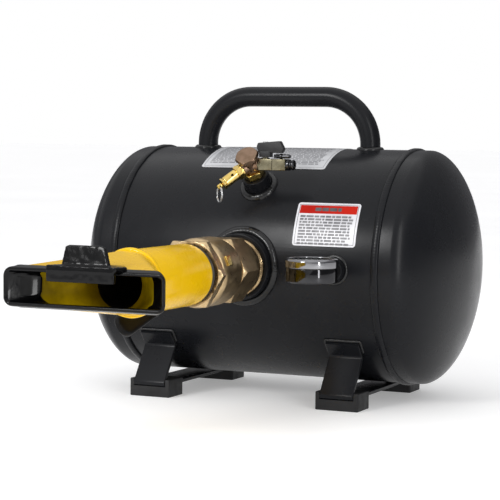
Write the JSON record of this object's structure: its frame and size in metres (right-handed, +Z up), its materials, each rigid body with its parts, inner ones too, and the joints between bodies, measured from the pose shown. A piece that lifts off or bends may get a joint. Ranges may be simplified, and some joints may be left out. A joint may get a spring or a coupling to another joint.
{
  "type": "air receiver tank",
  "caption": "Portable air receiver tank with a lever ball valve, a flat fan nozzle for seating tyre beads, a pressure gauge, a relief valve and a filling valve.",
  "frame": {"origin": "on the floor, under the middle of the part's box", "axes": "+X along the tank's length towards the end with the gauge, -Y the way the nozzle points, +Z up"},
  "size_m": [0.431, 0.5976, 0.336],
  "materials": {
    "black_paint": "satin sprayed enamel",
    "yellow_paint": "gloss powder coat",
    "brass": "dull, lightly tarnished",
    "bright_brass": "clean, bright",
    "chrome": "mirror bright",
    "steel": "zinc plated",
    "spring_steel": "plain wire",
    "plastisol": "thick glossy dip",
    "rubber": "matt, slightly dusty",
    "black_plastic": "fine moulded grain",
    "seat_plastic": "waxy white",
    "lens": "clear",
    "label": "printed, laminated",
    "dial": "white lacquer",
    "needle": "matt black lacquer"
  },
  "bodies": {
    "receiver": {"tank_shell": "black_paint", "tank_head_left": "black_paint", "tank_head_right": "black_paint", "seam_weld_left": "black_paint", "seam_weld_right": "black_paint", "carry_handle": "black_paint", "outlet_bung": "black_paint", "gauge_bung": "black_paint", "fitting_bung": "black_paint", "foot_strap_left": "black_paint", "foot_strap_right": "black_paint", "foot_cap_front_left": "rubber", "foot_cap_front_right": "rubber", "foot_cap_rear_left": "rubber", "foot_cap_rear_right": "rubber", "warning_label": "label", "data_label": "label", "outlet_nipple": "brass", "valve_body": "brass", "valve_end_cap": "brass", "valve_seat_inner": "seat_plastic", "valve_seat_outer": "seat_plastic", "valve_gland_nut": "brass", "barrel_tube": "yellow_paint", "nozzle_weld_ring": "yellow_paint", "nozzle_fan": "yellow_paint", "nozzle_rim_dip": "plastisol", "rim_hook": "plastisol", "gauge_case": "chrome", "gauge_bezel": "chrome", "gauge_lens": "lens", "gauge_dial": "dial", "gauge_bourdon_tube": "brass", "gauge_stem": "bright_brass", "manifold_nipple": "bright_brass", "manifold_body": "brass", "relief_body": "bright_brass", "relief_cap": "bright_brass", "relief_spring": "spring_steel", "fill_valve_body": "brass", "fill_inlet_adapter": "brass", "fill_inlet_plug": "chrome", "fill_stop_pin": "steel"},
    "outlet_lever": {"valve_ball": "chrome", "valve_stem": "brass", "valve_lever": "steel", "lever_nut": "steel", "lever_sleeve": "plastisol"},
    "fill_handle": {"fill_handle": "black_plastic", "fill_ball": "chrome", "fill_stem": "steel", "fill_handle_screw": "steel"},
    "relief_pull": {"relief_stem": "bright_brass", "relief_seal": "rubber"},
    "pull_ring": {"pull_ring": "steel"},
    "gauge_needle": {"gauge_needle": "needle"}
  },
  "joints": [
    {"name": "outlet_lever_turn", "type": "hinge", "parent": "receiver", "child": "outlet_lever", "pos_m": [0.002, -0.0445, 0.1455], "axis": [-0.866, 0, -0.5], "range_deg": [0, 90]},
    {"name": "fill_handle_turn", "type": "hinge", "parent": "receiver", "child": "fill_handle", "pos_m": [0.0235, 0.05689, 0.25226], "axis": [0, 0, -1], "range_deg": [0, 90]},
    {"name": "relief_pull_slide", "type": "slide", "parent": "receiver", "child": "relief_pull", "axis": [-0.6018, -0.5498, -0.5794], "range_m": [0, 0.003], "stiffness_N_per_m": 1200, "deforming": ["relief_spring"]},
    {"name": "pull_ring_swing", "type": "hinge", "parent": "relief_pull", "child": "pull_ring", "pos_m": [-0.01837, 0.03463, 0.2288], "axis": [-0.6744, 0.7383, 0], "range_deg": [-40, 85]},
    {"name": "gauge_needle_turn", "type": "hinge", "parent": "receiver", "child": "gauge_needle", "pos_m": [0.1055, -0.0115, 0.155], "axis": [0, 0, -1], "range_deg": [0, 270], "stiffness_Nm_per_rad": 0.002}
  ]
}
